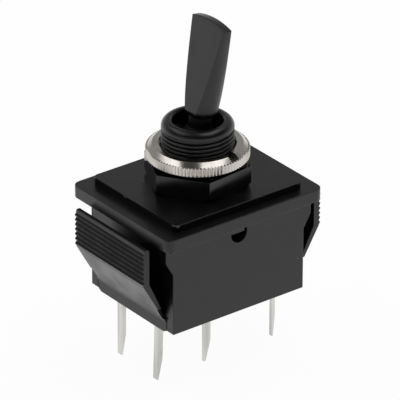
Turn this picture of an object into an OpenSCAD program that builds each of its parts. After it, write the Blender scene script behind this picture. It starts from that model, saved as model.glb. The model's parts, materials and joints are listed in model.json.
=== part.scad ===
// Double-pole panel toggle switch, solder-tail type.
// A paddle lever on a cross pin tilts in a threaded bush and carries two sprung plungers, one for
// each pole. Each plunger rocks a contact blade on its common terminal, and the blade closes on one
// of two throw terminals. The terminals stand in a base that clips up into the housing.
// X runs along the body, Y across it from pole to pole, and Z up along the bush.
// The origin is on the bush axis, in the top face of the cover. The lever is thrown towards +X.

/* [Bush] */
// Outside diameter of the bush thread
bush_d = 12; // [11.6:0.1:14]
// Height of the bush above the cover face
bush_h = 10.95; // [9.8:0.05:14]
// Bore that the lever swings in
bush_bore_d = 8.5; // [8:0.1:9]
// Radius that rounds the bush's outer rim
bush_rim_r = 1.3; // [0.4:0.1:1.3]
// Pitch of the bush thread
thread_pitch = 0.75; // [0.5:0.05:1]
// Width of the keyway down the bush
keyway_w = 1.1; // [0.6:0.1:1.6]
// Depth of the keyway
keyway_depth = 0.7; // [0.3:0.05:0.7]

/* [Nuts] */
// Width of the hexagon nut across its flats
hex_af = 15.8; // [14.5:0.1:18]
// Thickness of the hexagon nut
hex_h = 3.69; // [2:0.05:3.9]
// Turn of the hexagon nut about the bush
hex_turn = 4.9; // [0:0.1:30]
// Free space between the two nuts, where a panel goes
panel_gap = 0.62; // [0.3:0.02:0.9]
// Diameter of the ring nut over its knurl
ring_d = 17.1; // [15.5:0.1:19]
// Height of the ring nut's knurled band
ring_band_h = 1.66; // [1:0.02:1.8]
// Height of the ring nut's bevel above the band
ring_bevel_h = 0.76; // [0.3:0.02:0.9]
// Diameter of the ring nut's flat top
ring_top_d = 14.8; // [13.6:0.1:15.2]
// Number of teeth round the knurl
knurl_n = 90; // [48:6:120]
// Depth of the knurl's grooves
knurl_depth = 0.24; // [0.1:0.02:0.4]
// Width of the two spanner slots in the ring nut
ring_slot_w = 1.7; // [0.8:0.1:2.4]
// Direction of the spanner slots
ring_slot_turn = -79.4; // [-90:0.1:90]
// Radial gap between a nut and the thread
nut_clearance = 0.05; // [0.02:0.01:0.1]

/* [Cover] */
// Length of the raised cover plate
plate_l = 26.2; // [24:0.1:29]
// Width of the raised cover plate
plate_w = 22.3; // [20:0.1:24]
// Height of the cover plate above the flange
plate_t = 1.27; // [0.8:0.01:2]
// Radius of the cover plate's corners
plate_corner_r = 1.0; // [0.4:0.1:3]
// Wall of the cover's spigot inside the housing
spigot_wall = 1.2; // [0.8:0.1:1.5]
// Depth of the cover's spigot below the flange's top face
spigot_depth = 6.0; // [4.6:0.1:6]
// Gap between the spigot and the housing
spigot_clearance = 0.1; // [0.05:0.01:0.2]
// Width of the cover's latch tabs
latch_w = 2.8; // [1.6:0.1:3]
// Gap between a latch tab and the edge of its window
latch_clearance = 0.1; // [0.05:0.01:0.2]

/* [Housing] */
// Length of the flange
flange_l = 31.8; // [29:0.1:35]
// Width of the flange
flange_w = 26.1; // [24:0.1:29]
// Thickness of the flange
flange_t = 2.2; // [1.5:0.1:2.6]
// Radius of the flange's corners
flange_corner_r = 1.4; // [0.5:0.1:3]
// Length of the body below the flange
body_l = 26.8; // [24:0.1:29]
// Width of the body below the flange
body_w = 22.2; // [21.6:0.1:23.5]
// Height of the body below the flange
body_h = 16.35; // [16.2:0.05:19]
// Thickness of the long side walls
side_wall = 1.75; // [1.2:0.05:1.9]
// Thickness of the end walls
end_wall = 0.95; // [0.7:0.05:0.95]
// How far the locating ears of the front wall stand out past the body's ends
ear_reach = 1.45; // [0.5:0.05:1.5]
// Height of the straight part of the ears
ear_h = 2.9; // [1.5:0.1:4]
// Height over which the ears slope back into the wall
ear_slope_h = 2.5; // [1:0.1:4]
// Width of the latch windows
window_w = 3.2; // [3.1:0.1:5]
// Depth of the latch windows below the flange
window_h = 3.55; // [3:0.05:4.5]

/* [Base and snap wings] */
// Thickness of the base
base_t = 2.9; // [2.5:0.1:3]
// How far the base stands out below the housing
base_stand = 0.4; // [0.1:0.05:0.8]
// Length over which the base's underside slopes back to the housing's edge
base_stand_slope = 0.8; // [0.4:0.1:3]
// Size of the moulding nibs beside the left tails
nib_size = 0.45; // [0.2:0.05:0.6]
// Gap between the base and the housing
base_clearance = 0.12; // [0.05:0.01:0.3]
// Height of the base's end blocks that close the notches in the end walls
end_block_h = 2.6; // [2:0.1:2.8]
// Thickness of the insulating wall between the poles
barrier_t = 1.2; // [0.8:0.1:2]
// Height of the insulating wall above the base
barrier_h = 8.2; // [5:0.1:8.4]
// Width of the snap wings
wing_w = 18.4; // [12:0.1:18.4]
// How far the left wing stands out from the body's end, without its ridges
left_wing_reach = 4.45; // [3.9:0.05:5]
// How far the right wing stands out from the body's end, without its ridges
right_wing_reach = 4.7; // [3.9:0.05:5]
// Thickness of the wings' upright part, without the ridges
wing_t = 1.05; // [0.8:0.05:1.2]
// Gap between the flange's underside and the top of the wings
wing_top_gap = 0.34; // [0.1:0.02:1]
// Height of the wings' upright part
wing_upright_h = 6.75; // [6.6:0.05:8]
// Height at which the wings' slope meets the base, above the base's underside
wing_root_h = 1.85; // [1.5:0.05:2.2]
// Pitch of the ridges
ridge_pitch = 0.87; // [0.6:0.01:0.92]
// Depth of the ridges
ridge_depth = 0.3; // [0.1:0.02:0.5]
// Number of ridges on each wing
ridge_n = 7; // [3:1:7]

/* [Lever] */
// Height of the lever's pivot above the cover face
pivot_h = 7.1; // [6.8:0.05:7.4]
// Lever's tilt from upright when it is thrown
throw_angle = 8; // [5:0.5:8.5]
// Distance from the pivot to the lever's crown
lever_reach = 21.03; // [17:0.01:26]
// Distance from the pivot to the paddle's lower end
paddle_start = 4.3; // [4.2:0.1:6]
// Diameter of the paddle at its lower end
paddle_foot_d = 5.24; // [4.6:0.02:5.6]
// Diameter of the paddle at its crown
paddle_crown_d = 8.6; // [6.6:0.02:8.9]
// Thickness between the paddle's flats at its lower end
paddle_foot_t = 4.86; // [3.8:0.02:5]
// Thickness between the paddle's flats at its crown
paddle_crown_t = 1.5; // [1.2:0.01:3]
// Rise of the crown's arc over the paddle's corners
crown_rise = 0.62; // [0.2:0.02:1.2]
// Diameter of the stem inside the bush
stem_d = 3.8; // [3:0.1:4.2]
// Diameter of the ball round the pivot pin
pivot_ball_d = 6.2; // [5.4:0.1:6.6]
// Diameter of the pivot pin
pin_d = 1.6; // [1.2:0.1:2]
// How far each end of the pivot pin reaches into the bush wall
pin_seat = 0.8; // [0.5:0.05:0.85]
// Radial gap of the pivot pin in its slots
pin_clearance = 0.05; // [0.02:0.01:0.1]

/* [Plungers] */
// Distance from pole to pole
pole_pitch = 10.16; // [9.6:0.02:10.6]
// Diameter of a plunger
plunger_d = 2.5; // [2:0.1:2.7]
// Radial gap between a plunger and its bore
plunger_clearance = 0.05; // [0.02:0.01:0.1]
// Length of a plunger
plunger_l = 4.6; // [4.2:0.1:5.2]
// Wall round a plunger's bore
barrel_wall = 0.8; // [0.6:0.05:0.9]
// Length of the lever's barrels
barrel_l = 6.4; // [6:0.1:6.6]
// Depth of a plunger's bore
barrel_bore_l = 5.6; // [5.2:0.1:5.8]
// Gap between a plunger's tip and its blade with the lever upright
plunger_gap = 0.12; // [0.08:0.01:0.3]
// Wire diameter of the plunger springs
spring_wire_d = 0.3; // [0.2:0.02:0.36]
// Mean diameter of the plunger springs
spring_d = 1.9; // [1.6:0.05:2]
// Number of turns in each plunger spring
spring_turns = 5.5; // [4:0.5:8]

/* [Contacts] */
// Depth of the blades' rocking axis below the cover face
rocker_depth = 12.5; // [12.2:0.1:12.8]
// Tilt of a blade when it is closed, and slope of its two arms
blade_angle = 6; // [5:0.25:6.5]
// Thickness of a blade
blade_t = 0.6; // [0.4:0.05:0.8]
// Width of a blade
blade_w = 3.6; // [3.4:0.1:4]
// Distance from the contacts out to the throw terminals' tails
contact_inset = 2.55; // [2.3:0.05:2.7]
// Diameter of the contact heads
contact_d = 2.4; // [2:0.1:2.6]
// Height of the contact heads
contact_h = 0.7; // [0.5:0.05:0.8]
// Diameter of the contacts' shanks
shank_d = 1.2; // [0.8:0.05:1.3]
// Diameter of the contacts' closed-over ends
peen_d = 1.8; // [1.6:0.05:2]
// Height of the contacts' closed-over ends
peen_h = 0.3; // [0.2:0.05:0.4]
// Gap left between closed contacts
contact_gap = 0.03; // [0.01:0.01:0.05]
// Gap between a blade and its fulcrum
rocker_gap = 0.03; // [0.01:0.01:0.05]

/* [Terminals] */
// Length of the terminal tails below the base
tail_l = 10.65; // [6:0.05:16]
// Distance from the throw terminals' tails out to the body's ends
throw_inset = 1.65; // [1.6:0.01:1.7]
// Thickness of the left throw tails along the body
left_tail_t = 1.0; // [0.6:0.05:1.1]
// Width of the left throw tails across the body
left_tail_w = 1.1; // [0.6:0.05:1.4]
// Thickness of the right throw tails along the body
right_tail_t = 0.53; // [0.4:0.01:1.1]
// Width of the right throw tails across the body
right_tail_w = 0.77; // [0.5:0.01:1.4]
// Offset of the common tails from the bush axis
common_x = 2.04; // [1.6:0.02:3]
// Thickness of the common tails along the body
common_tail_t = 1.4; // [0.8:0.05:1.6]
// Width of the common tails across the body
common_tail_w = 0.5; // [0.4:0.05:0.8]
// Length of the tapered end of a tail
tail_taper_l = 3.8; // [1:0.1:5]
// Share of a tail's thickness left at its tip
tail_tip_share = 0.3; // [0.2:0.05:1]
// Lean of the front left tail
bent_tail_lean = 1.8; // [0:0.1:4]
// Thickness of the terminals' strip inside the switch
strip_t = 0.6; // [0.4:0.05:0.7]
// Width of the throw terminals' strip inside the switch
strip_w = 3.0; // [2.6:0.1:3.4]
// Gap between a tail and its slot in the base
slot_clearance = 0.05; // [0.02:0.01:0.1]

/* [Hidden] */
$fn = 96;
// A cut or a joined piece runs past its neighbour by this much
over = 0.5;
front = -1;
rear = 1;
left = -1;
right = 1;

// Heights, counted from the cover face
flange_top = -plate_t;
flange_bottom = flange_top - flange_t;
body_bottom = flange_bottom - body_h;
base_bottom = body_bottom - base_stand;
base_top = base_bottom + base_t;
tail_tip = base_bottom - tail_l;
rocker_z = -rocker_depth;
fixed_face_z = rocker_z - contact_h - contact_gap;
tab_top = fixed_face_z - contact_h;
tab_bottom = tab_top - strip_t;
ring_bottom = hex_h + panel_gap;
ring_band_top = ring_bottom + ring_band_h;
ring_top = ring_band_top + ring_bevel_h;

// Bush and bore
bush_r = bush_d / 2;
bore_r = bush_bore_d / 2;
thread_depth = 0.6134 * thread_pitch;
bore_mouth_chamfer = 0.25;
boss_wall = 2.75;
boss_bottom = flange_top - 0.93;
nut_r = bush_r + nut_clearance;
nut_chamfer = 0.35;
ring_step = 0.06;

// Housing and what fits in it
cavity_l = body_l - 2 * end_wall;
cavity_w = body_w - 2 * side_wall;
spigot_l = cavity_l - 2 * spigot_clearance;
spigot_w = cavity_w - 2 * spigot_clearance;
spigot_bottom = flange_top - spigot_depth;
stop_rib_l = 12;
stop_rib_h = 0.7;
stop_rib_depth = 0.4;

// Base and wings
base_l = cavity_l - 2 * base_clearance;
base_w = cavity_w - 2 * base_clearance;
notch_w = cavity_w;
notch_top = base_bottom + end_block_h;
wing_top = flange_bottom - wing_top_gap;
wing_knee = wing_top - wing_upright_h;
wing_root_z = base_bottom + wing_root_h;
wing_inner_root_z = notch_top;
wing_relief_w = 0.45;
wing_relief_z = wing_root_z + 2.9;
ridge_top = wing_top - 0.62;

// Lever below the pivot, measured down from the pivot with the lever upright
pole_y = pole_pitch / 2;
bore_plunger_r = plunger_d / 2 + plunger_clearance;
barrel_r = bore_plunger_r + barrel_wall;
tip_below_pivot = pivot_h + rocker_depth - blade_t - plunger_gap;
plunger_out = plunger_l - 2.2;
barrel_end = tip_below_pivot - plunger_out;
barrel_start = barrel_end - barrel_l;
bore_end = barrel_end - barrel_bore_l;
plunger_top = tip_below_pivot - plunger_l;
crossbar_t = 3.6;
crossbar_h = 2.4;
spring_end_gap = 0.02;
spring_l = plunger_top - bore_end - 2 * spring_end_gap;

// Pivot
pin_l = 2 * (bore_r + pin_seat);
pin_slot_depth = pin_seat + pin_clearance;
pin_fit = 0.02;

// Contacts and commons
throw_x = body_l / 2 - throw_inset;
contact_reach = throw_x - contact_inset;
arm_l = contact_reach + contact_d / 2 + 0.2;
fulcrum_r = 0.4;
fulcrum_z = rocker_z - rocker_gap - fulcrum_r;
saddle_l = 2.4;
saddle_w = blade_w + 0.2;
lug_l = 0.8;
lug_w = 0.35;
lug_h = 1.3;
lug_clearance = 0.25;
rivet_fit = 0.02;
blade_notch_depth = (blade_w - saddle_w) / 2 + lug_w + 0.05;
web_l = 2.2;

black_satin = [0.05, 0.05, 0.055];
black_gloss = [0.02, 0.02, 0.022];
nickel = [0.78, 0.76, 0.72];
tin = [0.82, 0.82, 0.80];
steel = [0.60, 0.61, 0.62];
copper = [0.72, 0.45, 0.28];
silver = [0.85, 0.85, 0.87];
natural_plastic = [0.88, 0.86, 0.80];

// A block centred on the axis in X and Y, from one height up to another
module block(l, w, z_low, z_high) {
    translate([-l / 2, -w / 2, z_low]) cube([l, w, z_high - z_low]);
}

// A flat plate with rounded corners, from one height up to another
module rounded_block(l, w, r, z_low, z_high) {
    translate([0, 0, z_low]) linear_extrude(z_high - z_low) union() {
        square([l - 2 * r, w], center = true);
        square([l, w - 2 * r], center = true);
        for (x = [-1, 1], y = [-1, 1]) translate([x * (l / 2 - r), y * (w / 2 - r)]) circle(r = r);
    }
}

// A round bar along Y
module bar_y(r, l, x, z) {
    translate([x, 0, z]) rotate([90, 0, 0]) cylinder(r = r, h = l, center = true);
}

// An outline in X and Z, made a solid across a width centred on y
module slab_y(points, w, y = 0) {
    translate([0, y + w / 2, 0]) rotate([90, 0, 0]) linear_extrude(w) polygon(points);
}

// Tilts what the lever carries about the pivot
module tilted() {
    translate([0, 0, pivot_h]) rotate([0, throw_angle, 0]) children();
}

// Turns one pole's blade about its rocking axis, closed on the left
module rocked(pole) {
    translate([0, pole * pole_y, rocker_z]) rotate([0, -blade_angle, 0]) children();
}

// ---------- housing ----------

module ear(side) {
    x_end = side * body_l / 2;
    x_in = side * (body_l / 2 - end_wall);
    x_out = side * (body_l / 2 + ear_reach);
    slab_y([
        [x_in, flange_bottom + over], [x_out, flange_bottom + over], [x_out, flange_bottom - ear_h],
        [x_end, flange_bottom - ear_h - ear_slope_h], [x_in, flange_bottom - ear_h - ear_slope_h]
    ], side_wall, -(body_w - side_wall) / 2);
}

module latch_window(wall) {
    r = window_w / 2;
    translate([0, wall * (body_w - side_wall) / 2, 0]) {
        translate([-r, -side_wall, flange_bottom - window_h + r])
            cube([window_w, 2 * side_wall, window_h - r]);
        bar_y(r, 2 * side_wall, 0, flange_bottom - window_h + r);
    }
}

module housing() {
    color(black_satin) difference() {
        union() {
            rounded_block(flange_l, flange_w, flange_corner_r, flange_bottom, flange_top);
            block(body_l, body_w, body_bottom, flange_bottom + over);
            for (side = [left, right]) ear(side);
        }
        difference() {
            block(cavity_l, cavity_w, body_bottom - over, flange_top + over);
            for (wall = [front, rear]) translate([0, wall * cavity_w / 2, 0])
                block(stop_rib_l, 2 * stop_rib_depth, base_top + slot_clearance, base_top + stop_rib_h);
        }
        for (side = [left, right]) translate([side * body_l / 2, 0, 0])
            block(4 * end_wall, notch_w, body_bottom - over, notch_top + base_clearance);
        for (wall = [front, rear]) latch_window(wall);
    }
}

// ---------- cover and bush ----------

module bush_outline() {
    translate([0, flange_top]) square([bush_r, bush_h - bush_rim_r - flange_top]);
    translate([0, flange_top]) square([bush_r - bush_rim_r, bush_h - flange_top]);
    translate([bush_r - bush_rim_r, bush_h - bush_rim_r]) circle(r = bush_rim_r);
}

module latch_tab(wall) {
    y_in = spigot_w / 2 - spigot_wall / 2;
    y_out = body_w / 2 - 0.4;
    top = flange_bottom - latch_clearance;
    bottom = flange_bottom - window_h + window_w / 2 - 0.1;
    rotate([0, 0, wall * 90]) slab_y([
        [y_in, top], [y_out, top], [y_out, bottom], [spigot_w / 2, spigot_bottom], [y_in, spigot_bottom]
    ], latch_w);
}

module cover_bush() {
    color(black_gloss) difference() {
        union() {
            rounded_block(plate_l, plate_w, plate_corner_r, flange_top, 0);
            difference() {
                block(spigot_l, spigot_w, spigot_bottom, flange_top + plate_t / 2);
                block(spigot_l - 2 * spigot_wall, spigot_w - 2 * spigot_wall, spigot_bottom - over, flange_top);
            }
            for (wall = [front, rear]) latch_tab(wall);
            rotate_extrude() bush_outline();
            translate([0, 0, boss_bottom]) cylinder(r = bore_r + boss_wall, h = plate_t - boss_bottom + flange_top);
        }
        translate([0, 0, boss_bottom - over]) cylinder(r = bore_r, h = bush_h - boss_bottom + 2 * over);
        translate([0, 0, bush_h - bore_mouth_chamfer])
            cylinder(r1 = bore_r, r2 = bore_r + 2 * bore_mouth_chamfer, h = 2 * bore_mouth_chamfer);
        // Slots that the ends of the pivot pin rise into from below
        bar_y(pin_d / 2 + pin_clearance, 2 * (bore_r + pin_slot_depth), 0, pivot_h);
        block(pin_d + 2 * pin_clearance, 2 * (bore_r + pin_slot_depth), boss_bottom - over, pivot_h);
        // Keyway for a locating washer
        translate([bush_r - keyway_depth, -keyway_w / 2, 0]) cube([2 * keyway_depth, keyway_w, bush_h + over]);
        // One groove of the thread, where the ring nut's face lies
        translate([0, 0, ring_top - thread_pitch]) difference() {
            cylinder(r = bush_r + over, h = thread_pitch);
            translate([0, 0, -over]) cylinder(r = bush_r - thread_depth, h = thread_pitch + 2 * over);
        }
    }
}

// ---------- nuts ----------

module hex_nut() {
    // A 30 degree chamfer rounds off the lower corners
    corner_r = hex_af / 2 / cos(30);
    color(black_gloss) rotate([0, 0, hex_turn]) difference() {
        intersection() {
            cylinder(r = corner_r, h = hex_h, $fn = 6);
            cylinder(r1 = hex_af / 2 + 0.02, r2 = hex_af / 2 + 0.02 + hex_h / tan(30), h = hex_h);
        }
        translate([0, 0, -over]) cylinder(r = nut_r, h = hex_h + 2 * over);
    }
}

// Outline of the knurl: a tooth tip and a groove bottom by turns
function knurl_point(i) =
    let (r = ring_d / 2 - (i % 2) * knurl_depth, a = i * 180 / knurl_n)
    [r * cos(a), r * sin(a)];

module ring_nut() {
    bevel_foot_r = ring_d / 2 - knurl_depth - ring_step;
    color(nickel) difference() {
        union() {
            translate([0, 0, ring_bottom]) linear_extrude(ring_band_h)
                polygon([for (i = [0 : 2 * knurl_n - 1]) knurl_point(i)]);
            translate([0, 0, ring_band_top]) cylinder(r1 = bevel_foot_r, r2 = ring_top_d / 2, h = ring_bevel_h);
        }
        translate([0, 0, ring_bottom - over]) cylinder(r = nut_r, h = ring_band_h + ring_bevel_h + 2 * over);
        translate([0, 0, ring_top - nut_chamfer])
            cylinder(r1 = nut_r, r2 = nut_r + 2 * nut_chamfer, h = 2 * nut_chamfer);
        rotate([0, 0, ring_slot_turn]) block(ring_d + 2 * over, ring_slot_w, ring_band_top + ring_step, ring_top + over);
    }
}

// ---------- lever ----------

module paddle() {
    l = lever_reach - paddle_start;
    half_crown = paddle_crown_d / 2;
    crown_r = (half_crown * half_crown + crown_rise * crown_rise) / (2 * crown_rise);
    intersection() {
        translate([0, 0, paddle_start]) cylinder(d1 = paddle_foot_d, d2 = paddle_crown_d, h = l);
        slab_y([
            [-paddle_foot_t / 2, paddle_start], [paddle_foot_t / 2, paddle_start],
            [paddle_crown_t / 2, lever_reach], [-paddle_crown_t / 2, lever_reach]
        ], 2 * paddle_crown_d);
        translate([0, 0, lever_reach - crown_r]) rotate([0, 90, 0])
            cylinder(r = crown_r, h = 2 * paddle_foot_t, center = true);
    }
}

module barrel(pole) {
    translate([0, pole * pole_y, -barrel_end]) cylinder(r = barrel_r, h = barrel_l);
}

module lever() {
    color(black_satin) tilted() difference() {
        union() {
            paddle();
            translate([0, 0, -barrel_start - crossbar_h]) cylinder(d = stem_d, h = barrel_start + crossbar_h + paddle_start + over);
            sphere(d = pivot_ball_d);
            block(crossbar_t, pole_pitch, -barrel_start - crossbar_h, -barrel_start);
            for (pole = [front, rear]) barrel(pole);
        }
        bar_y(pin_d / 2 + pin_fit, pivot_ball_d + over, 0, 0);
        for (pole = [front, rear]) translate([0, pole * pole_y, -barrel_end - over])
            cylinder(r = bore_plunger_r, h = barrel_bore_l + over);
    }
}

module pivot_pin() {
    color(steel) tilted() bar_y(pin_d / 2, pin_l, 0, 0);
}

// ---------- plungers and springs ----------

module plunger(pole) {
    r = plunger_d / 2;
    color(natural_plastic) tilted() translate([0, pole * pole_y, -tip_below_pivot]) {
        translate([0, 0, r]) cylinder(r = r, h = plunger_l - r);
        translate([0, 0, r]) sphere(r = r);
    }
}

// Points of one ring round the spring's wire, at a place along the coil
function wire_ring(u, sides) =
    let (a = 360 * spring_turns * u, wire_r = spring_wire_d / 2, z = wire_r + u * (spring_l - spring_wire_d))
    [for (k = [0 : sides - 1])
        let (b = 360 * k / sides, r = spring_d / 2 + wire_r * cos(b))
        [r * cos(a), r * sin(a), z + wire_r * sin(b)]];

module coil() {
    sides = 8;
    rings = ceil(14 * spring_turns);
    points = [for (i = [0 : rings]) each wire_ring(i / rings, sides)];
    tube = [for (i = [0 : rings - 1], k = [0 : sides - 1])
        let (a = i * sides + k, b = i * sides + (k + 1) % sides)
        each [[a, b, b + sides], [a, b + sides, a + sides]]];
    cap_start = [for (k = [sides - 1 : -1 : 0]) k];
    cap_end = [for (k = [0 : sides - 1]) rings * sides + k];
    polyhedron(points, concat(tube, [cap_start, cap_end]), convexity = 10);
}

module plunger_spring(pole) {
    color(steel) tilted() translate([0, pole * pole_y, spring_end_gap - plunger_top]) coil();
}

// ---------- rocking contacts ----------

module blade_arm(side) {
    slab_y([
        [0, 0], [side * arm_l * cos(blade_angle), arm_l * sin(blade_angle)],
        [side * (arm_l * cos(blade_angle) - blade_t * sin(blade_angle)), arm_l * sin(blade_angle) + blade_t * cos(blade_angle)],
        [0, blade_t / cos(blade_angle)]
    ], blade_w);
}

// Stands a contact on an arm of the blade, upright on its upper side
module on_arm(side) {
    rotate([0, -side * blade_angle, 0]) translate([side * contact_reach, 0, 0]) children();
}

module rocker_blade(pole) {
    color(copper) rocked(pole) difference() {
        for (side = [left, right]) blade_arm(side);
        for (side = [left, right]) on_arm(side)
            translate([0, 0, -over]) cylinder(d = shank_d, h = blade_t + 2 * over);
        for (edge = [front, rear]) translate([0, edge * blade_w / 2, 0])
            block(lug_l + 2 * lug_clearance, 2 * blade_notch_depth, -over, blade_t + 2 * over);
    }
}

module moving_contact(pole, side) {
    color(silver) rocked(pole) on_arm(side) {
        translate([0, 0, -contact_h]) cylinder(d = contact_d, h = contact_h);
        translate([0, 0, -contact_h / 2]) cylinder(d = shank_d - 2 * rivet_fit, h = contact_h / 2 + blade_t + peen_h / 2);
        translate([0, 0, blade_t]) cylinder(d = peen_d, h = peen_h);
    }
}

module fixed_contact(pole, side) {
    color(silver) translate([side * contact_reach, pole * pole_y, 0]) {
        translate([0, 0, tab_top]) cylinder(d = contact_d, h = contact_h);
        translate([0, 0, tab_bottom - peen_h / 2]) cylinder(d = shank_d - 2 * rivet_fit, h = strip_t + contact_h / 2 + peen_h / 2);
        translate([0, 0, tab_bottom - peen_h]) cylinder(d = peen_d, h = peen_h);
    }
}

// ---------- terminals ----------

// A tail that hangs from a height, tapered on its +X side towards the tip
module tail(t, w, z_high, lean = 0) {
    tip_t = t * tail_tip_share;
    block(t, w, base_bottom, z_high);
    translate([0, 0, base_bottom]) rotate([0, lean, 0]) translate([0, 0, -base_bottom]) slab_y([
        [-t / 2, base_bottom + over / 2], [t / 2, base_bottom + over / 2], [t / 2, tail_tip + tail_taper_l],
        [-t / 2 + tip_t, tail_tip], [-t / 2, tail_tip]
    ], w);
}

module common_terminal(pole) {
    turn = pole == front ? 0 : 180;
    web_low = -common_x - common_tail_t / 2;
    color(tin) translate([0, pole * pole_y, 0]) rotate([0, 0, turn]) {
        translate([-common_x, 0, 0]) mirror([turn / 180, 0, 0]) tail(common_tail_t, common_tail_w, base_top + over);
        translate([web_low, -common_tail_w / 2, base_top])
            cube([web_l / 2 - web_low, common_tail_w, fulcrum_z - strip_t / 2 - base_top]);
        block(saddle_l, saddle_w, fulcrum_z - strip_t, fulcrum_z);
        bar_y(fulcrum_r, saddle_w - 2 * lug_w, 0, fulcrum_z);
        for (edge = [front, rear]) translate([0, edge * (saddle_w - lug_w) / 2, 0])
            block(lug_l, lug_w, fulcrum_z - strip_t, fulcrum_z + lug_h);
    }
}

module throw_terminal(pole, side) {
    t = side == left ? left_tail_t : right_tail_t;
    w = side == left ? left_tail_w : right_tail_w;
    lean = side == left && pole == front ? bent_tail_lean : 0;
    tab_end = contact_reach - contact_d / 2 - 0.2;
    tab_l = throw_x + strip_t / 2 - tab_end;
    color(tin) translate([0, pole * pole_y, 0]) difference() {
        union() {
            translate([side * throw_x, 0, 0]) {
                tail(t, w, base_top + over, lean);
                block(strip_t, strip_w, base_top, tab_top);
            }
            translate([side * (tab_end + tab_l / 2), 0, 0]) block(tab_l, strip_w, tab_bottom, tab_top);
        }
        translate([side * contact_reach, 0, tab_bottom - over]) cylinder(d = shank_d, h = strip_t + 2 * over);
    }
}

// ---------- base with snap wings ----------

module snap_wing(side) {
    outer_x = body_l / 2 + (side == left ? left_wing_reach : right_wing_reach);
    inner_x = outer_x - wing_t;
    inner_knee = wing_knee + wing_t * 0.3;
    difference() {
        union() {
            slab_y([
                [side * (base_l / 2 - over), wing_inner_root_z], [side * (body_l / 2 - 0.05), wing_inner_root_z],
                [side * inner_x, inner_knee], [side * inner_x, wing_top - 0.35],
                [side * (inner_x + 0.3), wing_top], [side * (outer_x - 0.12), wing_top],
                [side * outer_x, wing_top - 0.3], [side * outer_x, wing_knee],
                [side * (body_l / 2), wing_root_z], [side * (base_l / 2 - over), wing_root_z]
            ], wing_w);
            for (i = [0 : ridge_n - 1]) ridge(side, outer_x, ridge_top - i * ridge_pitch);
        }
        // The foot of the wing is set in a little at both edges
        for (edge = [front, rear]) translate([0, edge * wing_w / 2, 0])
            block(2 * (outer_x + over), 2 * wing_relief_w, notch_top + base_clearance, wing_relief_z);
    }
}

// One ridge: a steep upper face and a longer lower one
module ridge(side, x, z) {
    slab_y([
        [side * (x - 0.1), z], [side * x, z], [side * (x + ridge_depth), z - ridge_pitch * 0.35],
        [side * x, z - ridge_pitch * 0.95], [side * (x - 0.1), z - ridge_pitch * 0.95]
    ], wing_w);
}

module tab_support(pole, side) {
    pocket_r = peen_d / 2 + 0.2;
    x_low = contact_reach - contact_d / 2;
    x_high = throw_x - strip_t / 2 - 0.15;
    translate([side * (x_low + x_high) / 2, pole * pole_y, 0]) difference() {
        block(x_high - x_low, strip_w, base_top - over, tab_bottom);
        translate([side * (contact_reach - (x_low + x_high) / 2), 0, tab_bottom - peen_h - 0.2])
            cylinder(r = pocket_r, h = peen_h + over);
    }
}

// The base's plate, whose underside bulges below the housing between its two long edges
module base_plate(l, z_high) {
    w = base_w / 2;
    translate([-l / 2, 0, 0]) rotate([90, 0, 90]) linear_extrude(l) polygon([
        [-w, z_high], [-w, body_bottom], [-w + base_stand_slope, base_bottom],
        [w - base_stand_slope, base_bottom], [w, body_bottom], [w, z_high]
    ]);
}

module nib(y) {
    x_in = -throw_x - left_tail_t / 2 - slot_clearance;
    slab_y([
        [x_in - nib_size, base_bottom + over], [x_in, base_bottom + over],
        [x_in, base_bottom - nib_size], [x_in - nib_size, base_bottom - nib_size / 2]
    ], nib_size, y);
}

module tail_slot(t, w, x, y) {
    translate([x, y, 0])
        block(t + 2 * slot_clearance, w + 2 * slot_clearance, base_bottom - over, base_top + over);
}

module terminal_base() {
    color(black_satin) difference() {
        union() {
            base_plate(base_l, base_top);
            base_plate(body_l, notch_top);
            for (pole = [front, rear]) nib(pole * pole_y);
            block(cavity_l - 2, barrier_t, base_top - over, base_top + barrier_h);
            for (pole = [front, rear], side = [left, right]) tab_support(pole, side);
            for (side = [left, right]) snap_wing(side);
        }
        for (pole = [front, rear]) {
            tail_slot(left_tail_t, left_tail_w, -throw_x, pole * pole_y);
            tail_slot(right_tail_t, right_tail_w, throw_x, pole * pole_y);
            tail_slot(common_tail_t, common_tail_w, pole * common_x, pole * pole_y);
        }
    }
}

// ---------- nodes ----------

housing();
cover_bush();
terminal_base();
hex_nut();
ring_nut();
lever();
pivot_pin();
plunger(front);  // plunger_front
plunger(rear);  // plunger_rear
plunger_spring(front);  // plunger_spring_front
plunger_spring(rear);  // plunger_spring_rear
rocker_blade(front);  // rocker_blade_front
rocker_blade(rear);  // rocker_blade_rear
moving_contact(front, left);  // moving_contact_front_left
moving_contact(front, right);  // moving_contact_front_right
moving_contact(rear, left);  // moving_contact_rear_left
moving_contact(rear, right);  // moving_contact_rear_right
fixed_contact(front, left);  // fixed_contact_front_left
fixed_contact(front, right);  // fixed_contact_front_right
fixed_contact(rear, left);  // fixed_contact_rear_left
fixed_contact(rear, right);  // fixed_contact_rear_right
common_terminal(front);  // common_terminal_front
common_terminal(rear);  // common_terminal_rear
throw_terminal(front, left);  // throw_terminal_front_left
throw_terminal(front, right);  // throw_terminal_front_right
throw_terminal(rear, left);  // throw_terminal_rear_left
throw_terminal(rear, right);  // throw_terminal_rear_right
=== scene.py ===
"""Looks of a double-pole panel toggle switch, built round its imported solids.

Each sub-assembly is a class that makes its shown pieces from the solids' sizes and dresses them:
the housing, the cover with its threaded bush, the base with its snap wings, the two nuts, the paddle
lever, the solder tails and the contact gear inside. Lengths in the classes are in millimetres.
"""
from __future__ import annotations

import json
import logging
import math
from dataclasses import dataclass, field
from enum import Enum

import bmesh
import bpy
from mathutils import Matrix, Vector

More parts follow.
